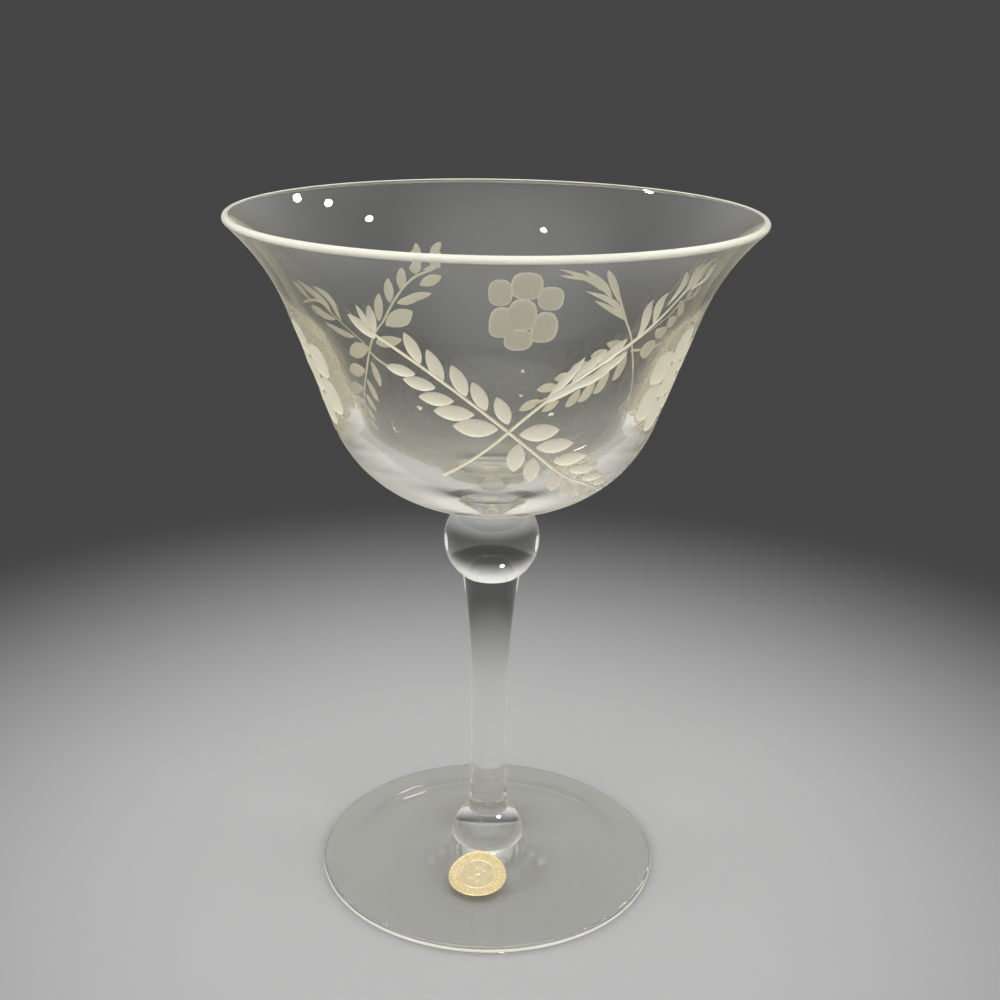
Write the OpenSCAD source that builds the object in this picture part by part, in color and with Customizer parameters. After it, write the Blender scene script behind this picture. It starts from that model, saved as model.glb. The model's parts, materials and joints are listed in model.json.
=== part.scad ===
// Champagne glass with a flared bowl, a ball knop, a drawn stem and a low spread foot.
// The glass pieces are all round about the Z axis, and the foot stands on the plane Z = 0.

/* [Bowl] */
// Height of the bowl from its seat on the knop to the top of the lip
bowl_h = 57.5; // [50:0.1:70]
// Outside diameter of the lip
rim_d = 101.6; // [96:0.1:115]
// Thickness of the glass at the rounded lip
lip_t = 1.5; // [1:0.1:2.5]
// Lean of the wall away from upright at the lip, in degrees
lip_lean = 47; // [38:1:52]
// Radius of the flare below the lip
flare_r = 42.3; // [30:0.1:48]
// Outside radius of the round corner between the seat and the wall
corner_r = 27.1; // [22:0.1:30]
// Diameter of the flat at the bottom of the bowl
bowl_flat_d = 12.6; // [10.6:0.1:17]
// Thickness of the glass at the side of the round corner
wall_t = 2.6; // [1.8:0.1:5]
// Thickness of the glass over the seat
floor_t = 6; // [4:0.1:9]

/* [Knop] */
// Diameter of the ball
knop_d = 19.4; // [16:0.1:26]
// Diameter of the flat joint between the bowl and the ball
bowl_seat_d = 10.6; // [8:0.1:12.6]

/* [Stem] */
// Height of the stem
stem_h = 55; // [40:0.5:80]
// Diameter of the stem at its joint with the ball
stem_top_d = 11.8; // [9:0.1:14]
// Diameter of the straight middle of the stem
stem_waist_d = 7.6; // [6:0.1:8.4]
// Diameter of the stem at its joint with the button
stem_foot_d = 8.6; // [7.8:0.1:11]
// Height of the upper stretch, where the stem widens towards the ball
stem_flare_h = 28; // [15:0.5:44]
// Height of the lower stretch, where the stem widens towards the button
stem_spread_h = 9; // [4:0.5:20]

/* [Foot] */
// Diameter of the half ball of glass that joins the stem to the foot
button_d = 15.4; // [12:0.1:20]
// Diameter of the foot
foot_d = 71.5; // [64:0.5:85]
// Thickness of the rounded outer edge of the foot
foot_edge_t = 1.8; // [1.4:0.1:3]
// Height of the top of the foot under the button
foot_rise = 5.3; // [4:0.1:8]
// Diameter inside which the top of the foot rises towards the button
foot_slope_d = 58; // [46:0.5:68]
// Inner diameter of the flat ring that the glass stands on
rest_ring_d = 62; // [40:0.5:68]
// Height of the hollow under the middle of the foot
hollow_h = 1.4; // [0.4:0.1:2]

/* [Foil seal] */
// Diameter of the foil seal stuck on top of the foot
seal_d = 12.2; // [8:0.1:15]
// Thickness of the foil
seal_t = 0.12; // [0.08:0.01:0.3]
// Thickness of the glue under the foil
glue_t = 0.02; // [0.02:0.01:0.1]
// Space between the edge of the seal and the button
seal_gap = 0.1; // [0.1:0.1:3]
// Turn of the seal about the glass, in degrees left of the front
seal_turn = 8; // [0:1:359]

/* [Hidden] */
// Number of straight steps in each round stretch of an outline
arc_steps = 20;
// Sides of a full turn, and of the wide circle that the seal is bent to
$fn = 180;
seal_fn = 720;

// Radii of the joints, which two pieces share each
bowl_seat_r = bowl_seat_d / 2;
stem_top_r = stem_top_d / 2;
stem_foot_r = stem_foot_d / 2;
knop_r = knop_d / 2;
button_r = button_d / 2;

// Heights of the joints above the table
button_z = foot_rise;
stem_z = button_z + cap_h(button_r, stem_foot_r);
knop_z = stem_z + stem_h;
knop_mid_z = knop_z + cap_h(knop_r, stem_top_r);
bowl_z = knop_mid_z + cap_h(knop_r, bowl_seat_r);
lip_z = bowl_z + bowl_h;

// The lip's rounding and the two circles that shape the wall of the bowl
lip_r = lip_t / 2;
lip_c = [rim_d / 2 - lip_r, lip_z - lip_r];
flare_c = lip_c + (flare_r + lip_r) * [cos(lip_lean), -sin(lip_lean)];
bowl_flat_r = bowl_flat_d / 2;
corner_c = [bowl_flat_r, bowl_z + corner_r];
cavity_corner_r = corner_r - wall_t;
cavity_corner_c = [bowl_flat_r, bowl_z + floor_t + cavity_corner_r];

// The foot's top: a flat outer band, then one arc that rises to the button
edge_r = foot_edge_t / 2;
edge_c = [foot_d / 2 - edge_r, edge_r];
slope_run = foot_slope_d / 2 - button_r;
slope_r = sweep_r(slope_run, foot_rise - foot_edge_t);
slope_c = [foot_slope_d / 2, foot_edge_t + slope_r];

// The shallow hollow under the foot, inside the ring that it stands on
rest_ring_r = rest_ring_d / 2;
hollow_r = sweep_r(rest_ring_r, hollow_h);

// The seal lies just in front of the button
seal_r = seal_d / 2;
seal_reach = button_r + seal_gap + seal_r;

// Height of a ball's centre over the flat circle of radius flat_r cut across it
function cap_h(ball_r, flat_r) = sqrt(ball_r * ball_r - flat_r * flat_r);

// Radius of an arc that starts along the run and has climbed by rise at its end
function sweep_r(run, rise) = (run * run + rise * rise) / (2 * rise);

// Points along an arc about c, from angle a to angle b
function arc(c, r, a, b) =
    [for (i = [0 : arc_steps]) c + r * [cos(a + (b - a) * i / arc_steps), sin(a + (b - a) * i / arc_steps)]];

// Direction from a corner circle's centre to where the straight wall leaves it.
// The wall is the line that crosses between the corner circle and the flare circle.
function wall_angle(corner, r, flare) =
    let (d = flare_c - corner)
    atan2(d[1], d[0]) + asin((r + flare) / norm(d)) - 90;

// One face of the bowl's wall, from the seat up to the lip
function wall_face(corner, r, flare) =
    let (a = wall_angle(corner, r, flare))
    concat(arc(corner, r, -90, a), arc(flare_c, flare, a + 180, 180 - lip_lean));

function reversed(points) = [for (i = [len(points) - 1 : -1 : 0]) points[i]];

// Blown bowl: a wall that thins from the thick floor up to a rounded lip
module bowl() {
    outside = wall_face(corner_c, corner_r, flare_r);
    lip = arc(lip_c, lip_r, -lip_lean, 180 - lip_lean);
    inside = wall_face(cavity_corner_c, cavity_corner_r, flare_r + lip_t);
    color("azure", 0.5)
        rotate_extrude()
            polygon(concat([[0, bowl_z]], outside, lip, reversed(inside), [[0, bowl_z + floor_t]]));
}

// Solid ball with a flat above for the bowl and a flat below for the stem
module ball_knop() {
    color("lightcyan", 0.6)
        intersection() {
            translate([0, 0, knop_mid_z])
                sphere(r = knop_r);
            translate([0, 0, knop_z])
                cylinder(r = knop_d, h = bowl_z - knop_z);
        }
}

// Drawn solid stem: a slim straight middle that sweeps out to a joint at each end
module stem() {
    waist_r = stem_waist_d / 2;
    flare_out = stem_top_r - waist_r;
    spread_out = stem_foot_r - waist_r;
    upper_r = sweep_r(stem_flare_h, flare_out);
    lower_r = sweep_r(stem_spread_h, spread_out);
    upper_c = [waist_r + upper_r, knop_z - stem_flare_h];
    lower_c = [waist_r + lower_r, stem_z + stem_spread_h];
    upper = arc(upper_c, upper_r, 180, 180 - asin(stem_flare_h / upper_r));
    lower = arc(lower_c, lower_r, 180 + asin(stem_spread_h / lower_r), 180);
    color("azure", 0.6)
        rotate_extrude()
            polygon(concat([[0, stem_z]], lower, upper, [[0, knop_z]]));
}

// Half ball of glass with a flat on top that carries the stem
module foot_button() {
    color("lightcyan", 0.6)
        intersection() {
            translate([0, 0, button_z])
                sphere(r = button_r);
            translate([0, 0, button_z])
                cylinder(r = button_d, h = stem_z - button_z);
        }
}

// Spread foot: flat outer band, centre swept up to the button, hollow underneath
module foot() {
    hollow = arc([0, hollow_h - hollow_r], hollow_r, 90, 90 - asin(rest_ring_r / hollow_r));
    edge = arc(edge_c, edge_r, -90, 90);
    sweep = arc(slope_c, slope_r, -90, -90 - asin(slope_run / slope_r));
    color("azure", 0.5)
        rotate_extrude()
            polygon(concat(hollow, edge, sweep, [[0, foot_rise]]));
}

// Thin round foil stuck on the foot, following the sweep of its top over a film of glue
module foil_seal() {
    color("goldenrod")
        intersection() {
            rotate_extrude()
                intersection() {
                    translate(slope_c)
                        difference() {
                            circle(slope_r - glue_t, $fn = seal_fn);
                            circle(slope_r - glue_t - seal_t, $fn = seal_fn);
                        }
                    square([foot_slope_d / 2, 2 * foot_rise]);
                }
            rotate([0, 0, -seal_turn])
                translate([0, -seal_reach, 0])
                    cylinder(r = seal_r, h = 2 * foot_rise);
        }
}

bowl();
ball_knop();
stem();
foot_button();
foot();
foil_seal();
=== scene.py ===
import json
import math

import bpy
import numpy as np
from mathutils import Matrix, Vector

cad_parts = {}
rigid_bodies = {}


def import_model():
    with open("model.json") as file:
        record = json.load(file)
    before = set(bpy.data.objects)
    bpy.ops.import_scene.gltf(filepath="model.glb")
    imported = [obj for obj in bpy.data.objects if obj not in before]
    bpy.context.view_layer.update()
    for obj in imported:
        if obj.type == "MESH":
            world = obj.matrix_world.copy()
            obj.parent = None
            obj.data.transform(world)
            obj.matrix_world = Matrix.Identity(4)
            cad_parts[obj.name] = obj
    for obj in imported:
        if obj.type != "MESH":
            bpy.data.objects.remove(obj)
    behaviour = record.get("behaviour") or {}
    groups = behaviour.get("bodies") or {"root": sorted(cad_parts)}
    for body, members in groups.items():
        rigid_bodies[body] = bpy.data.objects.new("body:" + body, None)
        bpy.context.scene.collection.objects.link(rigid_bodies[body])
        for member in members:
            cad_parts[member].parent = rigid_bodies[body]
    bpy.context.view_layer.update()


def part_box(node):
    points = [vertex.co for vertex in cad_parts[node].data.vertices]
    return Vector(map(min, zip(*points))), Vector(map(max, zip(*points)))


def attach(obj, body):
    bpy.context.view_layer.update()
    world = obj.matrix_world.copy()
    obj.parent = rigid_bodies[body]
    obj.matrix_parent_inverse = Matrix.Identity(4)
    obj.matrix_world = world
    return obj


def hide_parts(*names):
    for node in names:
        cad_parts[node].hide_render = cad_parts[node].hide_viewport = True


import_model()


# The bowl is blown from clear glass with a faint warm tint, thick at the floor and thin at the lip.
# Its foot end is fused to the knop, and its lip is melted round in the fire.
# Lengths are in millimetres, as radius and height of an outline that is spun round the glass's axis.

MM = 0.001
bowl_low, bowl_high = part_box("bowl")
seat_z, lip_z, rim_r = bowl_low.z / MM, bowl_high.z / MM, bowl_high.x / MM
bowl_flat_r = 6.3
bowl_seat_r = 5.3
corner_r = 27.1
wall_t = 2.6
floor_t = 6.0
flare_r = 42.3
lip_lean = 47.0
lip_r = 0.75
weld_gap = 0.0005


def arc(centre, radius, start, end, steps):
    """Points on an arc, from one angle in degrees to another."""
    angles = np.radians(np.linspace(start, end, steps + 1))
    return [(centre[0] + radius * math.cos(a), centre[1] + radius * math.sin(a)) for a in angles]


def line(start, end, steps):
    """Points between two points, without the two."""
    return [tuple(np.array(start) + (np.array(end) - start) * i / steps) for i in range(1, steps)]


def lathe(name, outline, turns=240):
    """A closed round piece: one vertex is drawn out along the outline, and the line is spun about the axis."""
    bpy.ops.object.select_all(action="DESELECT")
    bpy.ops.mesh.primitive_plane_add(size=MM)
    piece = bpy.context.object
    piece.name = piece.data.name = name
    bpy.ops.object.mode_set(mode="EDIT")
    bpy.ops.mesh.select_mode(type="VERT")
    bpy.ops.mesh.merge(type="CENTER")
    bpy.ops.transform.translate(value=(outline[0][0] * MM, 0, outline[0][1] * MM))
    for here, there in zip(outline, outline[1:]):
        step = ((there[0] - here[0]) * MM, 0, (there[1] - here[1]) * MM)
        bpy.ops.mesh.extrude_vertices_move(TRANSFORM_OT_translate={"value": step})
    bpy.ops.mesh.select_all(action="SELECT")
    bpy.ops.mesh.spin(steps=turns, angle=2 * math.pi, center=(0, 0, 0), axis=(0, 0, 1))
    bpy.ops.mesh.select_all(action="SELECT")
    bpy.ops.mesh.remove_doubles(threshold=weld_gap * MM)
    bpy.ops.mesh.normals_make_consistent(inside=False)
    bpy.ops.object.mode_set(mode="OBJECT")
    bpy.ops.object.shade_smooth()
    return piece


def wall_face(corner, radius, flare, steps):
    """One face of the wall: the corner arc, the line that is tangent to both arcs, and the flare arc."""
    run = np.array(flare_c) - corner
    lean = math.degrees(math.atan2(run[1], run[0]) + math.asin((radius + flare) / np.hypot(*run))) - 90
    lower = arc(corner, radius, -90, lean, steps)
    upper = arc(flare_c, flare, lean + 180, 180 - lip_lean, steps)
    return lower + line(lower[-1], upper[0], steps * 2 // 3) + upper


lip_c = (rim_r - lip_r, lip_z - lip_r)
flare_c = (lip_c[0] + (flare_r + lip_r) * math.cos(math.radians(lip_lean)),
           lip_c[1] - (flare_r + lip_r) * math.sin(math.radians(lip_lean)))
corner_c = (bowl_flat_r, seat_z + corner_r)
cavity_c = (bowl_flat_r, seat_z + floor_t + corner_r - wall_t)
outside = wall_face(corner_c, corner_r, flare_r, steps=30)
inside = wall_face(cavity_c, corner_r - wall_t, flare_r + 2 * lip_r, steps=24)
lip = arc(lip_c, lip_r, -lip_lean, 180 - lip_lean, steps=20)
floor_mid = (0, inside[0][1])
floor_line = line(inside[0], floor_mid, steps=4)
bowl = lathe("bowl_glass", [(0, seat_z), (bowl_seat_r, seat_z)] + outside + lip[1:-1] + inside[::-1]
             + floor_line + [floor_mid])


class Socket:
    """A node's output in a material. Arithmetic on it adds Math nodes."""

    def __init__(self, out):
        self.out = out

    def maths(self, operation, first, second):
        tree = self.out.id_data
        node = tree.nodes.new("ShaderNodeMath")
        node.operation = operation
        for entry, value in zip(node.inputs, (first, second)):
            if isinstance(value, Socket):
                tree.links.new(value.out, entry)
            else:
                entry.default_value = value
        return Socket(node.outputs[0])

    def __add__(self, other):
        return self.maths("ADD", self, other)

    def __sub__(self, other):
        return self.maths("SUBTRACT", self, other)

    def __rsub__(self, other):
        return self.maths("SUBTRACT", other, self)

    def __mul__(self, other):
        return self.maths("MULTIPLY", self, other)

    __radd__ = __add__
    __rmul__ = __mul__


class Finish:
    """A material, or the world, whose nodes are added one by one."""

    def __init__(self, block, output="ShaderNodeOutputMaterial"):
        block.use_nodes = True
        self.block = block
        self.tree = block.node_tree
        self.tree.nodes.clear()
        self.output = self.tree.nodes.new(output)

    def node(self, kind, settings, sockets, out=0):
        """Adds a node, sets it, fills or links its sockets, and gives one of its outputs."""
        node = self.tree.nodes.new(kind)
        for name, value in settings.items():
            if name == "stops":
                for stop, (place, colour) in zip([*node.color_ramp.elements], value):
                    stop.position, stop.color = place, (*colour, 1)
            else:
                setattr(node, name, value)
        for name, value in sockets.items():
            if isinstance(value, Socket):
                self.tree.links.new(value.out, node.inputs[name])
            else:
                node.inputs[name].default_value = value
        return Socket(node.outputs[out])

    def surface(self, shader):
        self.tree.links.new(shader.out, self.output.inputs["Surface"])
        return self.block


# Sockets of a Mix node that mixes colours: its two colours, and its result.
MIX_A, MIX_B, MIXED = 6, 7, 2

warm_tint = (0.975, 0.963, 0.87, 1)
clear_tint = (0.984, 0.982, 0.952, 1)
glass = Finish(bpy.data.materials.new("clear_glass"))
place = glass.node("ShaderNodeTexCoord", {}, {}, "Object")
waves = glass.node("ShaderNodeTexNoise", {}, {"Vector": place, "Scale": 45.0, "Detail": 1.0})
smears = glass.node("ShaderNodeTexNoise", {}, {"Vector": place, "Scale": 160.0, "Detail": 3.0, "Roughness": 0.6})
ripple = glass.node("ShaderNodeBump", {}, {"Height": waves, "Strength": 0.015, "Distance": 0.002})
height = glass.node("ShaderNodeSeparateXYZ", {}, {"Vector": place}, "Z")
thin = glass.node("ShaderNodeMapRange", {"interpolation_type": "SMOOTHSTEP"}, {
    "Value": height, "From Min": (seat_z + floor_t) * MM, "From Max": (seat_z + 1.5 * corner_r) * MM})
below = glass.node("ShaderNodeMath", {"operation": "LESS_THAN"}, {0: height, 1: seat_z * MM})
tint = glass.node("ShaderNodeMix", {"data_type": "RGBA"}, {
    "Factor": thin * (1 - below) + below, MIX_A: warm_tint, MIX_B: clear_tint}, MIXED)
clear_glass = glass.surface(glass.node("ShaderNodeBsdfPrincipled", {}, {
    "Base Color": tint, "Roughness": smears * 0.01, "IOR": 1.51, "Transmission Weight": 1.0, "Normal": ripple,
    "Sheen Weight": 0.6, "Sheen Roughness": 0.3, "Sheen Tint": (1, 0.94, 0.74, 1)}))

# Pale cream half-matt glass: a painted highlight for the bright line of light along the lip and the foot's rim.
painted_highlight = Finish(bpy.data.materials.new("painted_highlight_edge"))
place = painted_highlight.node("ShaderNodeTexCoord", {}, {}, "Object")
flow = painted_highlight.node("ShaderNodeTexNoise", {}, {"Vector": place, "Scale": 300.0, "Detail": 2.0})
painted_highlight_edge = painted_highlight.surface(painted_highlight.node("ShaderNodeBsdfPrincipled", {}, {
    "Base Color": (0.97, 0.96, 0.86, 1), "Roughness": flow * 0.1 + 0.25, "IOR": 1.51, "Transmission Weight": 0.45}))

joint = Finish(bpy.data.materials.new("fused_joint"))
fused_joint = joint.surface(joint.node("ShaderNodeBsdfTransparent", {}, {"Color": (1, 1, 1, 1)}))

# Order of the finishes on a piece of glass.
CLEAR, JOINT, PAINTED_HIGHLIGHT, MATT, SHADED_SATIN = range(5)


def off_axis(face):
    """How far the middle of a face lies from the glass's axis, in millimetres."""
    return math.hypot(*face.center.xy) / MM


def finish_faces(piece, index, chosen):
    """Gives the chosen faces the material at an index, and keeps the shading sharp along their border."""
    bpy.ops.object.select_all(action="DESELECT")
    piece.select_set(True)
    bpy.context.view_layer.objects.active = piece
    bpy.ops.object.mode_set(mode="EDIT")
    bpy.ops.mesh.select_mode(type="FACE")
    bpy.ops.mesh.select_all(action="DESELECT")
    bpy.ops.object.mode_set(mode="OBJECT")
    for face in piece.data.polygons:
        face.select = chosen(face)
    bpy.ops.object.mode_set(mode="EDIT")
    piece.active_material_index = index
    bpy.ops.object.material_slot_assign()
    bpy.ops.mesh.region_to_loop()
    bpy.ops.mesh.mark_sharp()
    bpy.ops.object.mode_set(mode="OBJECT")


def glaze(piece, joints):
    """Clear glass all over, and no surface on the flat discs where the piece is fused to its neighbours.
    Each joint is given by its height and radius in millimetres."""
    near, level = 0.01, 0.99
    piece.data.materials.append(clear_glass)
    piece.data.materials.append(fused_joint)
    finish_faces(piece, JOINT, lambda face: any(
        abs(face.center.z / MM - z) < near and abs(face.normal.z) > level and off_axis(face) < r
        for z, r in joints))


glaze(bowl, [(seat_z, bowl_seat_r)])
# The round of the lip gets the pale cream finish, a painted highlight along the lip.
bowl.data.materials.append(painted_highlight_edge)
finish_faces(bowl, PAINTED_HIGHLIGHT, lambda face: math.hypot(
    off_axis(face) - lip_c[0], face.center.z / MM - lip_c[1]) < lip_r)


# The garland is cut into the outside of the bowl with a turning wheel and left matt: three pairs of
# crossed leafy branches and a six-petalled flower between each two pairs, spaced by eye.
# A place on the wall is its turn in degrees from the front and its way up along the outline.

line_w = 0.62
leaf_cut = 0.26
petal_cut = 0.34
rim_cut = 0.6 * petal_cut
clear_share = 0.92

way = np.array([(0, seat_z)] + outside)
way_up = np.concatenate([[0], np.cumsum(np.hypot(*np.diff(way, axis=0).T))])
way_lean = np.unwrap(np.arctan2(*np.gradient(way, axis=0).T[::-1]))


def wall_r(up):
    return np.interp(up, way_up, way[:, 0])


def on_wall(turn, up, proud):
    """Points in metres that stand proud of the wall at a turn and a way up."""
    lean = np.interp(up, way_up, way_lean)
    r = wall_r(up) + proud * np.sin(lean)
    z = np.interp(up, way_up, way[:, 1]) - proud * np.cos(lean)
    return np.stack([r * np.sin(np.radians(turn)), -r * np.cos(np.radians(turn)), z], -1) * MM


# Blanks of the wheel cuts, a millimetre long and wide: a pointed leaf, a round petal and a thin line.
leaf_taper = 0.85
petal_swell = 0.76
leaf_outline = [(0.5 * (1 - x * x) ** leaf_taper, 0.5 * x) for x in np.linspace(-1, 1, 19)]
petal_outline = [(0.5 * math.cos(a) ** petal_swell, 0.5 * math.copysign(abs(math.sin(a)) ** petal_swell, a))
                 for a in np.radians(np.linspace(-90, 90, 25))]
line_outline = [(0, -0.5)] + [(0.5, x) for x in np.linspace(-0.5, 0.5, 61)] + [(0, 0.5)]
leaf_blank = lathe("leaf_blank", leaf_outline, turns=20)
petal_blank = lathe("petal_blank", petal_outline, turns=28)
line_blank = lathe("line_blank", line_outline, turns=10)
cutters = bpy.data.collections.new("wheel_cuts")


def cut(blank, index, path, width, depth):
    """A copy of a blank, laid on the wall along a smooth path of turns and ways up, with the finish at an index."""
    copy = blank.copy()
    copy.data = blank.data.copy()
    cutters.objects.link(copy)
    points = np.empty(len(copy.data.vertices) * 3)
    copy.data.vertices.foreach_get("co", points)
    across, proud, along = points.reshape(-1, 3).T / MM
    knots = np.linspace(-0.5, 0.5, len(path))
    bends = min(len(path) - 1, 5)
    turn_at, up_at = (np.polynomial.Polynomial.fit(knots, places, bends) for places in zip(*path))
    degree = np.radians(wall_r(up_at(along)))
    run = np.stack([turn_at.deriv()(along) * degree, up_at.deriv()(along)])
    run /= np.hypot(*run)
    turn = turn_at(along) - across * width * run[1] / degree
    up = up_at(along) + across * width * run[0]
    copy.data.vertices.foreach_set("co", on_wall(turn, up, proud * 2 * depth).ravel())
    for _ in range(index + 1):
        copy.data.materials.append(None)
    for face in copy.data.polygons:
        face.material_index = index


# Each pair of branches, cut by hand: its lines, and its leaves from the line to the tip with their widths.
# Places are turns from the crossing of the pair and ways up.
front_lines = [
    [(-36, 65), (-29, 61.7), (-20, 57.4), (-14.4, 54.3), (0, 46), (9, 41.2), (16, 37.7), (24, 34.5), (33, 31.6),
     (44, 28.5)],
    [(-21, 36.1), (-9.7, 41.4), (0, 46), (5.6, 49.8), (10.4, 53), (16.7, 56.4), (23.1, 59.3), (30.8, 62.7),
     (35.4, 64.9), (38.5, 67.4), (40.8, 70.4), (43.5, 73.2)]]
front_leaves = [
    ((-0.4, 47.9), (-4, 53.7), 2.7), ((-6.7, 50.8), (-10.3, 56.7), 2.6), ((-12, 53.6), (-15.4, 59.9), 2.7),
    ((-18.1, 56), (-21.2, 62.7), 2.6), ((-23.4, 59.6), (-26.4, 65.7), 2.5), ((-35, 64.5), (-33.6, 70.8), 1.9),
    ((-35.6, 64.6), (-37.3, 70.4), 1.5), ((-34.8, 63.6), (-41.1, 68), 2.5),
    ((-3.2, 46.9), (-16.5, 47.3), 3.9), ((-9.9, 49.9), (-21.7, 50.2), 3.3), ((-15.4, 52.5), (-25.5, 52.9), 2.9),
    ((-20.1, 55), (-29.3, 56.1), 2.8), ((-25.2, 57.4), (-33.7, 58.3), 2.4),
    ((2.9, 45.7), (15.1, 46.3), 3.7), ((8.4, 42.8), (20.8, 43.1), 3.2), ((14.8, 39.4), (26.7, 39.8), 2.8),
    ((21.5, 37), (32.5, 36.3), 2.5), ((28.5, 34.4), (39, 33.3), 2.3), ((36, 32), (45.5, 30.6), 2.1),
    ((43.5, 29), (52, 26.8), 1.9),
    ((3, 43.8), (1.9, 37.5), 3.2), ((8, 40.6), (8, 34.8), 3), ((16.2, 36.8), (18.1, 31.4), 2.7),
    ((22, 34), (25.8, 28.8), 2.5), ((29, 32), (34, 28), 2.3), ((37.5, 28.9), (42.5, 26), 2),
    ((9.8, 53.2), (14.3, 57), (18.4, 61.2), 1.7), ((15.8, 56.3), (20.1, 59.3), (23.9, 62.4), 2),
    ((22.3, 59), (26, 61.4), (29.5, 64), 2.2), ((9.2, 52.1), (15, 54.5), (21.2, 56.2), 1.6),
    ((14.7, 54.7), (21.2, 56.4), (26.8, 58.1), 2), ((21, 57), (26.3, 58.9), (30.9, 61.3), 2),
    ((32.3, 63.6), (33.3, 66.8), (32.4, 69.6), (32.6, 71.9), 2),
    ((36.6, 65.8), (35.9, 69), (35.3, 71.2), (36.4, 73.2), 2),
    ((38.4, 69.6), (39.6, 73), (39.2, 75.4), (37, 78.2), 1.7),
    ((41, 71.3), (42.6, 74.4), (41, 77.4), (41, 79.6), 1.8),
    ((43.2, 73), (44.2, 75.6), (43, 78), (43.6, 79.8), 1.7),
    ((43.6, 72.8), (47.6, 75), (46.6, 77.6), (47.4, 79.6), 1.7)]

left_lines = [
    [(-38.3, 65.7), (-34.2, 64.9), (-30.3, 63.6), (-27.2, 61.8), (-24, 60), (-19.8, 57.8), (-16, 55.2), (-11.5, 51.8),
     (-4.5, 47), (3.2, 43.3), (10.1, 40.9), (16.8, 38.9), (24.4, 36.9), (34.3, 34.9), (45, 33.4)],
    [(-9, 36.4), (-3.1, 38.8), (0.8, 41), (4.6, 43.4), (8.2, 47), (9.2, 51), (9.8, 55), (11.6, 58), (15.4, 60),
     (21, 61), (28.4, 61.3)]]
left_leaves = [
    ((-31, 64.4), (-31.2, 68.3), 1.9), ((-30, 63.9), (-29.7, 66.8), 2.3), ((-23.6, 60.2), (-25.8, 65.8), 2.4),
    ((-18.3, 57.3), (-19.9, 63.2), 2.5), ((-11.6, 53.2), (-15, 59.8), 2.4),
    ((-35.2, 65.3), (-39.2, 68.2), 1.9), ((-32.7, 65), (-38.3, 65.7), 1.2), ((-30.7, 61.1), (-38.6, 63.3), 2.7),
    ((-23.6, 57.7), (-34.5, 59), 2), ((-21, 57.1), (-30, 58), 2), ((-13.6, 51.3), (-26.5, 55), 4.7),
    ((-1.5, 43.9), (-17.2, 45.3), 4.4),
    ((3.7, 43.7), (21.3, 44.7), 3.3), ((13.3, 40.1), (30.5, 42.7), 2.9), ((22.6, 37.5), (41.5, 41.2), 2.5),
    ((29.9, 35.8), (49.3, 40), 2.4), ((37.6, 34.4), (53.5, 38.3), 2.2),
    ((6.1, 41), (5.9, 38), (6.8, 35.3), 2.7), ((15.2, 38.4), (15.1, 32.8), 2.7), ((23.8, 36.3), (22.5, 31.6), 2.5),
    ((31.7, 35.1), (30.8, 30.8), 2.3), ((40.5, 33.9), (35.8, 29.2), 2.1),
    ((8.6, 53.6), (7.4, 58), (9.8, 61), (15.9, 63.6), 1.9), ((10.6, 57), (13, 60.1), (18.6, 62.9), (25.3, 66), 1.9),
    ((21, 61), (25.8, 64), (29.2, 65.9), 1.9), ((11, 54.6), (18.7, 57.1), (23.5, 59.9), 4),
    ((9, 47.3), (17.5, 50.3), (23.8, 54.3), 3.6)]

right_lines = [
    [(-17, 63.4), (-10.4, 61), (-5.6, 57.4), (-3, 53.4), (-1.2, 49.4), (1, 45.6), (5, 43.2), (9.6, 41), (16, 37.7),
     (24, 34.5), (33, 31.4), (44, 27.6)],
    [(-36, 33.6), (-29.2, 36.4), (-21.4, 38.9), (-13.9, 41.1), (-5.7, 43.4), (0.7, 46), (7, 49), (12.8, 52.2),
     (18.2, 56.2), (22.2, 59.4), (25.1, 62.2), (28.2, 65.2)],
    [(-0.5, 44.8), (-7.4, 46), (-14.8, 47.5), (-21.9, 49.3), (-28, 51.4)],
    [(-22.5, 38.6), (-20, 36.4), (-17.5, 34.2)]]
right_leaves = [
    ((-7.8, 45.9), (-21.9, 49.3), 4.2), ((-6.8, 52.9), (-23.2, 52.2), 4.2), ((-8, 57.8), (-20.3, 55.2), 3.7),
    ((-9, 61.9), (-17.8, 58.6), 2.9), ((-13, 62), (-15.5, 67), 2.2), ((-17, 63.4), (-22.5, 66.5), 2.1),
    ((1.5, 43.8), (1.6, 40.8), (4.1, 37.5), 3.2), ((9.6, 40), (10.1, 36), (12.8, 33.2), 2.9),
    ((16.2, 36.6), (16.6, 33), (19.7, 30.3), 2.8), ((22.2, 33.4), (23.2, 30.6), (26, 28.3), 2.6),
    ((31.1, 29.4), (38.5, 25.9), 2), ((6.6, 45), (17.8, 45.3), 3.6), ((13.1, 42.4), (22.8, 40.6), 2.6),
    ((21, 38.9), (31, 37.2), 2.3), ((28.5, 35.9), (38, 34), 2.1), ((35, 32.7), (45.2, 31), 2.2),
    ((41.8, 28.8), (52.1, 25.4), 2.3),
    ((16.3, 54.4), (21.6, 57.4), (27.6, 59.1), (36.5, 60.5), 1.5),
    ((17, 54.9), (21.9, 56.2), (26.8, 57.3), (32.1, 58.4), 1.3),
    ((21.8, 58.5), (26.6, 62.8), (30.4, 66.2), 2), ((25.6, 59.4), (31, 62.5), (38.3, 65.8), 1.9),
    ((30.5, 60.8), (35.7, 63.3), (46.6, 65.7), 1.4), ((35.4, 63.3), (46.2, 64), 0.9)]

# The turn of each crossing, and what is cut there.
pairs = [(5.0, front_lines, front_leaves), (-123.7, left_lines, left_leaves), (113.5, right_lines, right_leaves)]


def at(turn, up, path):
    """A path that is given from some place on the wall, as turns and ways up of its own."""
    return [(turn + t, up + u) for t, u in path]


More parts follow.
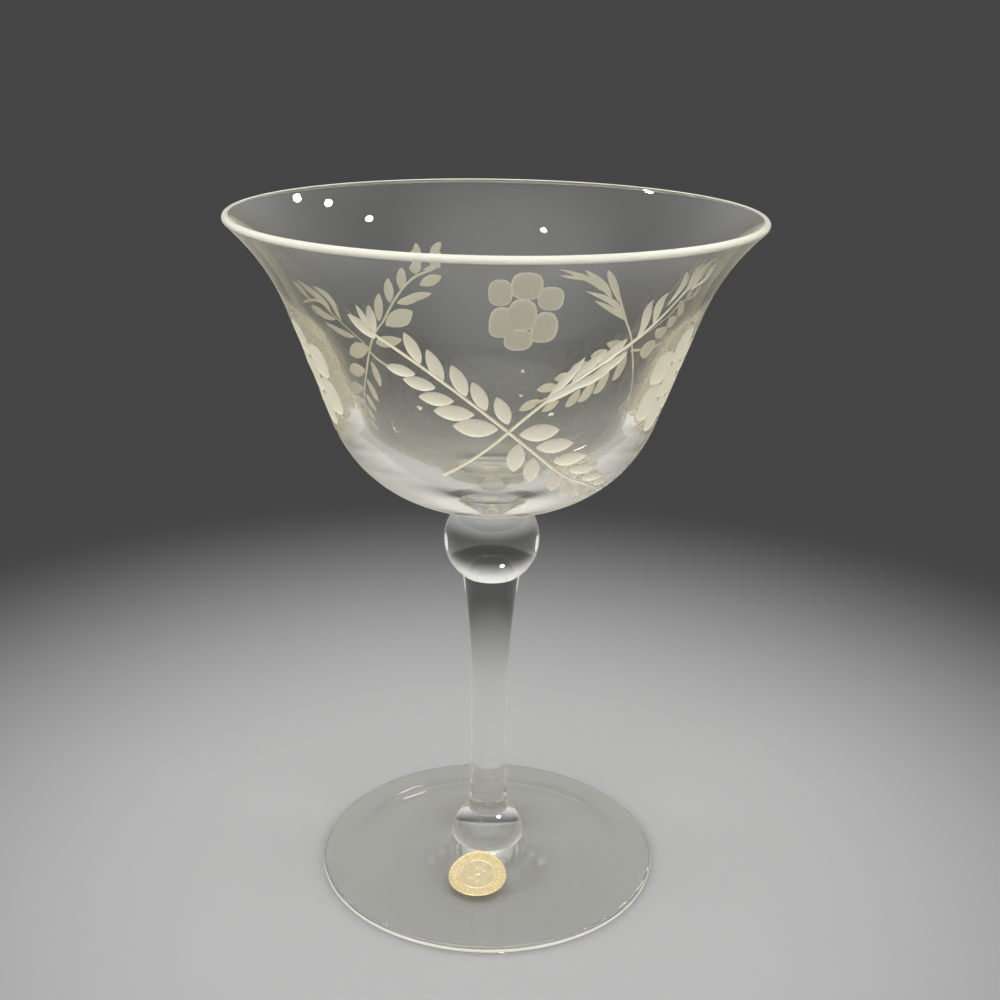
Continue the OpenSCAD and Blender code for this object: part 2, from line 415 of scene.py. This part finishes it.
for turn, lines, leaves in pairs:
    for branch in lines:
        cut(line_blank, MATT, at(turn, 0, branch), line_w, line_w / 2)
    for *leaf, width in leaves:
        cut(leaf_blank, MATT, at(turn, 0, leaf), width, leaf_cut)

# The middle of each flower and its petals: across and up from the flower's place, width and height.
# The petals at the back are polished a little clearer inside a matt rim; their inner cut is also coloured greyer than
# the leaves, which is painted shade for a flower seen through the bowl.
side_flower = [(0, 0, 6.8, 7.6), (0, 7, 7, 7), (5.8, 3.6, 6.4, 6.8), (5.8, -3.7, 6.4, 7.6), (0, -7.4, 6.7, 7.2),
               (-5.8, -3.7, 6.4, 7.6), (-5.8, 3.6, 6.4, 6.8)]
back_flower = [(-0.2, -0.4, 6.7, 8), (-0.7, 7, 7.3, 7.1), (4.9, 5.1, 5.5, 6.7), (4.3, -3.2, 6.1, 9.4),
               (0, -9, 6.7, 9.6), (-5.8, -4.5, 6.3, 10.6), (-6.2, 4.1, 6.1, 5.8)]

# The turn and the way up of each flower.
flowers = [(63.3, 52.1, side_flower), (171, 54, back_flower), (-67.5, 51.8, side_flower)]
for turn, middle, flower in flowers:
    for across, up, width, height in flower:
        aside = across / math.radians(wall_r(middle))
        half = height / 2
        cut(petal_blank, MATT, at(turn, middle, [(aside, up - half), (aside, up + half)]), width, rim_cut)
        if flower is back_flower:
            half *= clear_share
            cut(petal_blank, SHADED_SATIN, at(turn, middle, [(aside, up - half), (aside, up + half)]), clear_share * width,
                petal_cut)

matt = Finish(bpy.data.materials.new("matt_cut"))
place = matt.node("ShaderNodeTexCoord", {}, {}, "Object")
grain = matt.node("ShaderNodeTexNoise", {}, {"Vector": place, "Scale": 2500.0, "Detail": 2.0})
matt_cut = matt.surface(matt.node("ShaderNodeBsdfPrincipled", {}, {
    "Base Color": matt.node("ShaderNodeValToRGB", {"stops": [(0.3, (0.9, 0.86, 0.68)), (0.7, (0.98, 0.94, 0.76))]},
                            {"Fac": grain}),
    "Roughness": grain * 0.1 + 0.6, "IOR": 1.5, "Transmission Weight": 0.3,
    "Normal": matt.node("ShaderNodeBump", {}, {"Height": grain, "Strength": 0.2, "Distance": 0.0001})}))

# A clearer, polished cut. Its greyer base colour is painted shade: it darkens the flower at the back, seen through
# the bowl.
shaded_satin = Finish(bpy.data.materials.new("shaded_satin_cut"))
place = shaded_satin.node("ShaderNodeTexCoord", {}, {}, "Object")
grain = shaded_satin.node("ShaderNodeTexNoise", {}, {"Vector": place, "Scale": 1800.0, "Detail": 2.0})
shaded_satin_cut = shaded_satin.surface(shaded_satin.node("ShaderNodeBsdfPrincipled", {}, {
    "Base Color": shaded_satin.node("ShaderNodeValToRGB", {"stops": [(0.3, (0.74, 0.7, 0.55)), (0.7, (0.84, 0.8, 0.65))]},
                             {"Fac": grain}),
    "Roughness": grain * 0.1 + 0.42, "IOR": 1.5, "Transmission Weight": 0.45,
    "Sheen Weight": 1.0, "Sheen Roughness": 0.5, "Sheen Tint": (1, 0.97, 0.85, 1),
    "Normal": shaded_satin.node("ShaderNodeBump", {}, {"Height": grain, "Strength": 0.2, "Distance": 0.0001})}))

bowl.data.materials.append(matt_cut)
bowl.data.materials.append(shaded_satin_cut)
engraving = bowl.modifiers.new("engraving", "BOOLEAN")
engraving.operation = "DIFFERENCE"
engraving.operand_type = "COLLECTION"
engraving.collection = cutters
engraving.solver = "MANIFOLD"
bpy.context.view_layer.objects.active = bowl
bpy.ops.object.modifier_apply(modifier=engraving.name)
for piece in [*cutters.objects, leaf_blank, petal_blank, line_blank]:
    bpy.data.objects.remove(piece)
for index in (MATT, SHADED_SATIN):
    finish_faces(bowl, index, lambda face: face.material_index == index)

# The polished wall beside the cuts keeps the normals of the whole wall.
mesh = bowl.data
normals = np.zeros((len(mesh.loops), 3))
wall_from, wall_to = way[1, 1] + 1, lip_z - 1.6
for face in mesh.polygons:
    if face.material_index == CLEAR and face.normal.xy.dot(face.center.xy) > 0:
        for loop in face.loop_indices:
            point = mesh.vertices[mesh.loops[loop].vertex_index].co
            z = point.z / MM
            if wall_from < z < wall_to:
                lean = np.interp(z, way[2:, 1], way_lean[2:])
                spoke = point.xy.normalized()
                normals[loop] = (*(spoke * math.sin(lean)), -math.cos(lean))
mesh.normals_split_custom_set(normals.tolist())

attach(bowl, "root")
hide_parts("bowl")


# The knop is a solid ball of clear glass, gathered hot on the end of the stem.
# It is fused to the bowl above it and to the stem below, each on a small flat disc.

knop_low, knop_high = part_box("ball_knop")
knop_r = knop_high.x / MM
knop_z = knop_low.z / MM
stem_top_r = 5.9
knop_mid_z = knop_z + math.sqrt(knop_r ** 2 - stem_top_r ** 2)
low_angle = math.degrees(math.atan2(knop_z - knop_mid_z, stem_top_r))
high_angle = math.degrees(math.atan2(seat_z - knop_mid_z, bowl_seat_r))
ball = arc((0, knop_mid_z), knop_r, low_angle, high_angle, steps=48)
knop = lathe("knop_glass", [(0, knop_z)] + ball + [(0, seat_z)], turns=160)
glaze(knop, [(knop_z, stem_top_r), (seat_z, bowl_seat_r)])
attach(knop, "root")
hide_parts("ball_knop")


# The stem is drawn from a hot solid rod of clear glass: a slim waist that sweeps out to both ends.
# Its upper end is fused to the knop and its lower end to the button.

stem_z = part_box("stem")[0].z / MM
stem_waist_r = 3.8
stem_foot_r = 4.3
stem_flare_h = 28.0
stem_spread_h = 9.0


def sweep_r(run, rise):
    """Radius of an arc that starts along the run and has climbed by the rise at its end."""
    return (run ** 2 + rise ** 2) / (2 * rise)


upper_r = sweep_r(stem_flare_h, stem_top_r - stem_waist_r)
lower_r = sweep_r(stem_spread_h, stem_foot_r - stem_waist_r)
lower = arc((stem_waist_r + lower_r, stem_z + stem_spread_h), lower_r,
            180 + math.degrees(math.asin(stem_spread_h / lower_r)), 180, steps=12)
upper = arc((stem_waist_r + upper_r, knop_z - stem_flare_h), upper_r,
            180, 180 - math.degrees(math.asin(stem_flare_h / upper_r)), steps=30)
waist = line(lower[-1], upper[0], steps=12)
stem = lathe("stem_glass", [(0, stem_z)] + lower + waist + upper + [(0, knop_z)], turns=128)
glaze(stem, [(stem_z, stem_foot_r), (knop_z, stem_top_r)])
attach(stem, "root")
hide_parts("stem")


# The button is a half ball of clear glass, dropped hot on the middle of the foot.
# It is fused to the foot under it and takes the end of the stem on its flat top.

button_low, button_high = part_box("foot_button")
button_z, button_r = button_low.z / MM, button_high.x / MM
top_angle = math.degrees(math.atan2(stem_z - button_z, stem_foot_r))
half_ball = arc((0, button_z), button_r, 0, top_angle, steps=32)
button = lathe("button_glass", [(0, button_z)] + half_ball + [(0, stem_z)], turns=160)
glaze(button, [(button_z, button_r), (stem_z, stem_foot_r)])
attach(button, "root")
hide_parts("foot_button")


# The foot is spread flat from hot clear glass: a thin rounded edge, a centre that rises to the button,
# and a shallow hollow underneath, so that it stands on a ring. Its edge's outermost line has a painted highlight.

foot_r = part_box("foot")[1].x / MM
foot_edge_t = 1.8
foot_slope_r = 29.0
rest_ring_r = 31.0
hollow_h = 1.4
painted_highlight_band = 0.1 * foot_edge_t / 2
slope_r = sweep_r(foot_slope_r - button_r, button_z - foot_edge_t)
slope_c = (foot_slope_r, foot_edge_t + slope_r)
hollow_r = sweep_r(rest_ring_r, hollow_h)
hollow = arc((0, hollow_h - hollow_r), hollow_r, 90, 90 - math.degrees(math.asin(rest_ring_r / hollow_r)), steps=24)
edge = arc((foot_r - foot_edge_t / 2, foot_edge_t / 2), foot_edge_t / 2, -90, 90, steps=16)
sweep = arc(slope_c, slope_r, -90, -90 - math.degrees(math.asin((foot_slope_r - button_r) / slope_r)), steps=24)
rest_ring = line(hollow[-1], edge[0], steps=4)
flat_band = line(edge[-1], sweep[0], steps=5)
foot = lathe("foot_glass", hollow + rest_ring + edge + flat_band + sweep + [(0, button_z)])
glaze(foot, [(button_z, button_r)])
foot.data.materials.append(painted_highlight_edge)
finish_faces(foot, PAINTED_HIGHLIGHT, lambda face: off_axis(face) > foot_r - painted_highlight_band)
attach(foot, "root")
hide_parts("foot")


# The seal is a round of thin gold foil, stamped with two rings, a row of plain ticks and a few dots, and glued on.
# The glue leaves no air between foil and glass, so the foil starts a hair below the top of the foot.

seal_low, seal_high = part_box("foil_seal")
seal_x, seal_y = (seal_low.x + seal_high.x) / 2, (seal_low.y + seal_high.y) / 2
seal_r = (seal_high.x - seal_low.x) / 2
foil_t = 0.14 * MM
foil_sink = 0.02
stamp_h = 0.045 * MM
ring_r = 3.75 * MM
tick_count, tick_r, tick_w, tick_l = 32, 4.75 * MM, 0.26 * MM, 0.85 * MM
tick_bevel = 0.03 * MM
dot_count, dots_r, dot_r = 6, 1.8 * MM, 0.28 * MM
middle_dot = 1.6

# Steps of the stamping from the edge inwards: a width, and whether the foil rises there, falls or stays level.
steps_in = [(0.12, 0), (0.06, 1), (0.18, 0), (0.06, -1), (0.55, 0), (0.55, 0), (0.65, 0), (0.06, 1), (0.2, 0),
            (0.06, -1), (0.7, 0), (0.7, 0), (0.7, 0), (0.7, 0)]
bpy.ops.object.select_all(action="DESELECT")
bpy.ops.mesh.primitive_circle_add(vertices=96, radius=seal_r, fill_type="NGON")
seal = bpy.context.object
seal.name = seal.data.name = "foil_seal_disc"
bpy.ops.object.mode_set(mode="EDIT")
bpy.ops.mesh.select_mode(type="FACE")
bpy.ops.mesh.select_all(action="SELECT")
bpy.ops.mesh.extrude_region_move(TRANSFORM_OT_translate={"value": (0, 0, foil_t)})
for width, rise in steps_in:
    bpy.ops.mesh.inset(thickness=width * MM, depth=rise * stamp_h)
bpy.ops.mesh.poke()
bpy.ops.mesh.select_all(action="SELECT")
bpy.ops.mesh.normals_make_consistent(inside=False)
bpy.ops.object.mode_set(mode="OBJECT")

bpy.ops.mesh.primitive_cube_add(size=1)
tick = bpy.context.object
bpy.ops.object.mode_set(mode="EDIT")
bpy.ops.transform.resize(value=(tick_w, tick_l, 2 * stamp_h))
bpy.ops.transform.translate(value=(0, tick_r, foil_t))
bpy.ops.mesh.bevel(offset=tick_bevel, segments=1)
bpy.ops.object.mode_set(mode="OBJECT")
bpy.ops.mesh.primitive_uv_sphere_add(segments=12, ring_count=8, radius=dot_r)
dot = bpy.context.object
bpy.ops.object.mode_set(mode="EDIT")
bpy.ops.transform.resize(value=(1, 1, stamp_h / dot_r))
bpy.ops.transform.translate(value=(0, 0, foil_t))
bpy.ops.object.mode_set(mode="OBJECT")


def stamp(mark, move):
    """A copy of a mark with its own mesh, brought to its place on the foil by a matrix."""
    copy = mark.copy()
    copy.data = mark.data.copy()
    copy.data.transform(move)
    bpy.context.collection.objects.link(copy)
    return copy


marks = [stamp(tick, Matrix.Rotation(math.tau * i / tick_count, 4, "Z")) for i in range(tick_count)]
marks += [stamp(dot, Matrix.Rotation(math.tau * i / dot_count, 4, "Z") @ Matrix.Translation((0, dots_r, 0)))
          for i in range(dot_count)]
marks += [stamp(dot, Matrix.Scale(middle_dot, 4, (1, 0, 0)) @ Matrix.Scale(middle_dot, 4, (0, 1, 0)))]
bpy.data.objects.remove(tick)
bpy.data.objects.remove(dot)

middle_gold = (0.84, 0.72, 0.48, 1)
outer_gold = (0.9, 0.75, 0.42, 1)
gold = Finish(bpy.data.materials.new("gold_foil"))
place = gold.node("ShaderNodeTexCoord", {}, {}, "Object")
creases = gold.node("ShaderNodeTexNoise", {}, {"Vector": place, "Scale": 700.0, "Detail": 3.0})
level_place = gold.node("ShaderNodeVectorMath", {"operation": "MULTIPLY"}, {0: place, 1: (1, 1, 0)})
from_middle = gold.node("ShaderNodeVectorMath", {"operation": "DISTANCE"},
                        {0: level_place, 1: (seal_x, seal_y, 0)}, "Value")
outer = gold.node("ShaderNodeMapRange", {}, {
    "Value": from_middle, "From Min": ring_r, "From Max": ring_r + 0.2 * MM})
tone = gold.node("ShaderNodeMix", {"data_type": "RGBA"}, {
    "Factor": outer, MIX_A: middle_gold, MIX_B: outer_gold}, MIXED)
crease_shade = gold.node("ShaderNodeValToRGB", {"stops": [(0.3, (0.88, 0.86, 0.82)), (0.7, (1, 1, 1))]}, {
    "Fac": creases})
gold_foil = gold.surface(gold.node("ShaderNodeBsdfPrincipled", {}, {
    "Base Color": gold.node("ShaderNodeMix", {"data_type": "RGBA", "blend_type": "MULTIPLY"}, {
        "Factor": 1.0, MIX_A: tone, MIX_B: crease_shade}, MIXED),
    "Metallic": 1.0, "Roughness": creases * 0.2 + 0.28,
    "Normal": gold.node("ShaderNodeBump", {}, {"Height": creases, "Strength": 0.15, "Distance": 0.0001})}))

bright = Finish(bpy.data.materials.new("bright_stamp"))
place = bright.node("ShaderNodeTexCoord", {}, {}, "Object")
wear = bright.node("ShaderNodeTexNoise", {}, {"Vector": place, "Scale": 1500.0, "Detail": 2.0})
bright_stamp = bright.surface(bright.node("ShaderNodeBsdfPrincipled", {}, {
    "Base Color": bright.node("ShaderNodeValToRGB", {"stops": [(0.3, (0.9, 0.77, 0.48)), (0.7, (0.98, 0.88, 0.62))]},
                              {"Fac": wear}),
    "Metallic": 1.0, "Roughness": wear * 0.15 + 0.2}))

seal.data.materials.append(gold_foil)
seal.data.materials.append(bright_stamp)
for mark in marks:
    mark.data.materials.append(bright_stamp)
bright_slot = 1
finish_faces(seal, bright_slot, lambda face: face.center.z > foil_t + 0.3 * stamp_h)
for mark in marks:
    mark.select_set(True)
bpy.ops.object.join()

# The flat foil is bent to the sweep of the foot's top.
points = np.empty(len(seal.data.vertices) * 3)
seal.data.vertices.foreach_get("co", points)
points = points.reshape(-1, 3) + (seal_x, seal_y, 0)
reach = np.hypot(points[:, 0], points[:, 1]) / MM
points[:, 2] += (slope_c[1] - np.sqrt(slope_r ** 2 - (reach - slope_c[0]) ** 2) - foil_sink) * MM
seal.data.vertices.foreach_set("co", points.ravel())
bpy.ops.object.shade_smooth_by_angle(angle=math.radians(30))
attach(seal, "root")
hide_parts("foil_seal")


# The stage is a pale floor, matt and lit near the glass, that turns to a dim grey glow a quarter metre out:
# a painted pool of light round the glass. Soft lamps all round, and a camera where the photograph was taken from.

distance_grey = (0.06, 0.06, 0.06, 1)
dome_white = (0.8, 0.8, 0.8, 1)
floor_pale = (0.34, 0.34, 0.34, 1)
light_pool_from, light_pool_to = 0.05, 0.24
glow_way = (-0.15, -0.85, 0.5)
bpy.ops.object.select_all(action="DESELECT")
bpy.ops.mesh.primitive_circle_add(vertices=96, radius=30, fill_type="NGON")
ground = bpy.context.object
ground.name = "floor"
pale = Finish(bpy.data.materials.new("pale_floor"))
place = pale.node("ShaderNodeTexCoord", {}, {}, "Object")
reach = pale.node("ShaderNodeVectorMath", {"operation": "LENGTH"}, {"Vector": place}, "Value")
# The floor is matt and lit only out to this ring and is a dim grey glow beyond, so the bright disc round the glass is
# a painted pool of light.
outside_light_pool = pale.node("ShaderNodeMapRange", {"interpolation_type": "SMOOTHSTEP"}, {
    "Value": reach, "From Min": light_pool_from, "From Max": light_pool_to})
near_floor = pale.node("ShaderNodeBsdfDiffuse", {}, {"Color": floor_pale})
far_floor = pale.node("ShaderNodeEmission", {}, {"Color": distance_grey, "Strength": 1.0})
pale_floor = pale.surface(pale.node("ShaderNodeMixShader", {}, {0: outside_light_pool, 1: near_floor, 2: far_floor}))
ground.data.materials.append(pale_floor)

bpy.context.scene.world = bpy.data.worlds.new("studio")
sky = Finish(bpy.context.scene.world, "ShaderNodeOutputWorld")
outward = sky.node("ShaderNodeTexCoord", {}, {}, "Generated")
upward = sky.node("ShaderNodeSeparateXYZ", {}, {"Vector": outward}, "Z")
lift = sky.node("ShaderNodeMapRange", {"interpolation_type": "SMOOTHSTEP"}, {
    "Value": upward, "From Min": 0.0, "From Max": 0.55})
towards_glow = sky.node("ShaderNodeVectorMath", {"operation": "DOT_PRODUCT"}, {0: outward, 1: glow_way}, "Value")
glow = sky.node("ShaderNodeMapRange", {"interpolation_type": "SMOOTHSTEP"}, {
    "Value": towards_glow, "From Min": 0.3, "From Max": 1.0, "To Max": 1.1})
dome = sky.node("ShaderNodeMix", {"data_type": "RGBA"}, {
    "Factor": lift, MIX_A: distance_grey, MIX_B: dome_white}, MIXED)
sky.surface(sky.node("ShaderNodeBackground", {}, {"Color": dome, "Strength": glow * lift + 1.0}))

glass_middle = Vector((0, 0, 0.09))


def lamp(name, place, size, power, lights=True, mirrored=True, seen_through=True):
    """A round soft lamp that looks at the middle of the glass.
    It may light only what is matt, or show only in the glass."""
    data = bpy.data.lights.new(name, "AREA")
    data.shape, data.size, data.energy = "DISK", size, power
    light = bpy.data.objects.new(name, data)
    light.location = place
    light.rotation_euler = (glass_middle - light.location).to_track_quat("-Z", "Y").to_euler()
    light.visible_diffuse = lights
    light.visible_glossy = mirrored
    light.visible_transmission = seen_through
    light.visible_camera = False
    bpy.context.scene.collection.objects.link(light)


lamp("lamp_front", (-0.5, -0.9, 0.5), 0.8, 4.5, mirrored=False, seen_through=False)
lamp("lamp_fill", (0.7, -0.75, 0.45), 0.8, 3, mirrored=False, seen_through=False)
lamp("lamp_left", (-0.9, 0.1, 0.4), 0.8, 4, mirrored=False, seen_through=False)
lamp("lamp_right", (0.9, 0.1, 0.4), 0.8, 4, mirrored=False, seen_through=False)
lamp("spark_left", (-0.35, -0.5, 0.95), 0.05, 0.4, lights=False)
spark_places = [(0.57, 0.39, 0.85), (0.48, 0.6, 0.77), (0.65, 0.05, 0.87), (-0.45, 0.35, 0.96)]
for number, place in enumerate(spark_places):
    lamp("spark_%d" % number, place, 0.06, 0.5, lights=False, seen_through=False)
lamp("gleam", (-0.17, 0.98, 0.17), 0.06, 0.1, lights=False, mirrored=False)
lamp("strip_left", (-0.34, 0.14, 0.06), 0.14, 0.045, lights=False, mirrored=False)
lamp("strip_right", (0.34, 0.14, 0.06), 0.14, 0.045, lights=False, mirrored=False)

camera_place = Matrix.Translation((0.00154, -0.2673, 0.1769))
camera_tilt = Matrix.Rotation(math.radians(90 - 19.47), 4, "X")
camera_roll = Matrix.Rotation(math.radians(0.94), 4, "Z")
eye = bpy.data.cameras.new("camera")
eye.lens, eye.sensor_width = 50.73, 36
camera = bpy.data.objects.new("camera", eye)
camera.matrix_world = camera_place @ camera_tilt @ camera_roll
bpy.context.scene.collection.objects.link(camera)
bpy.context.scene.camera = camera
bpy.context.scene.view_settings.view_transform = "Standard"

# Light runs a long way inside glass, so it may bounce often.
bounces = 32
cycles = bpy.context.scene.cycles
cycles.max_bounces = cycles.glossy_bounces = cycles.transmission_bounces = bounces
cycles.transparent_max_bounces = bounces
cycles.blur_glossy = 0
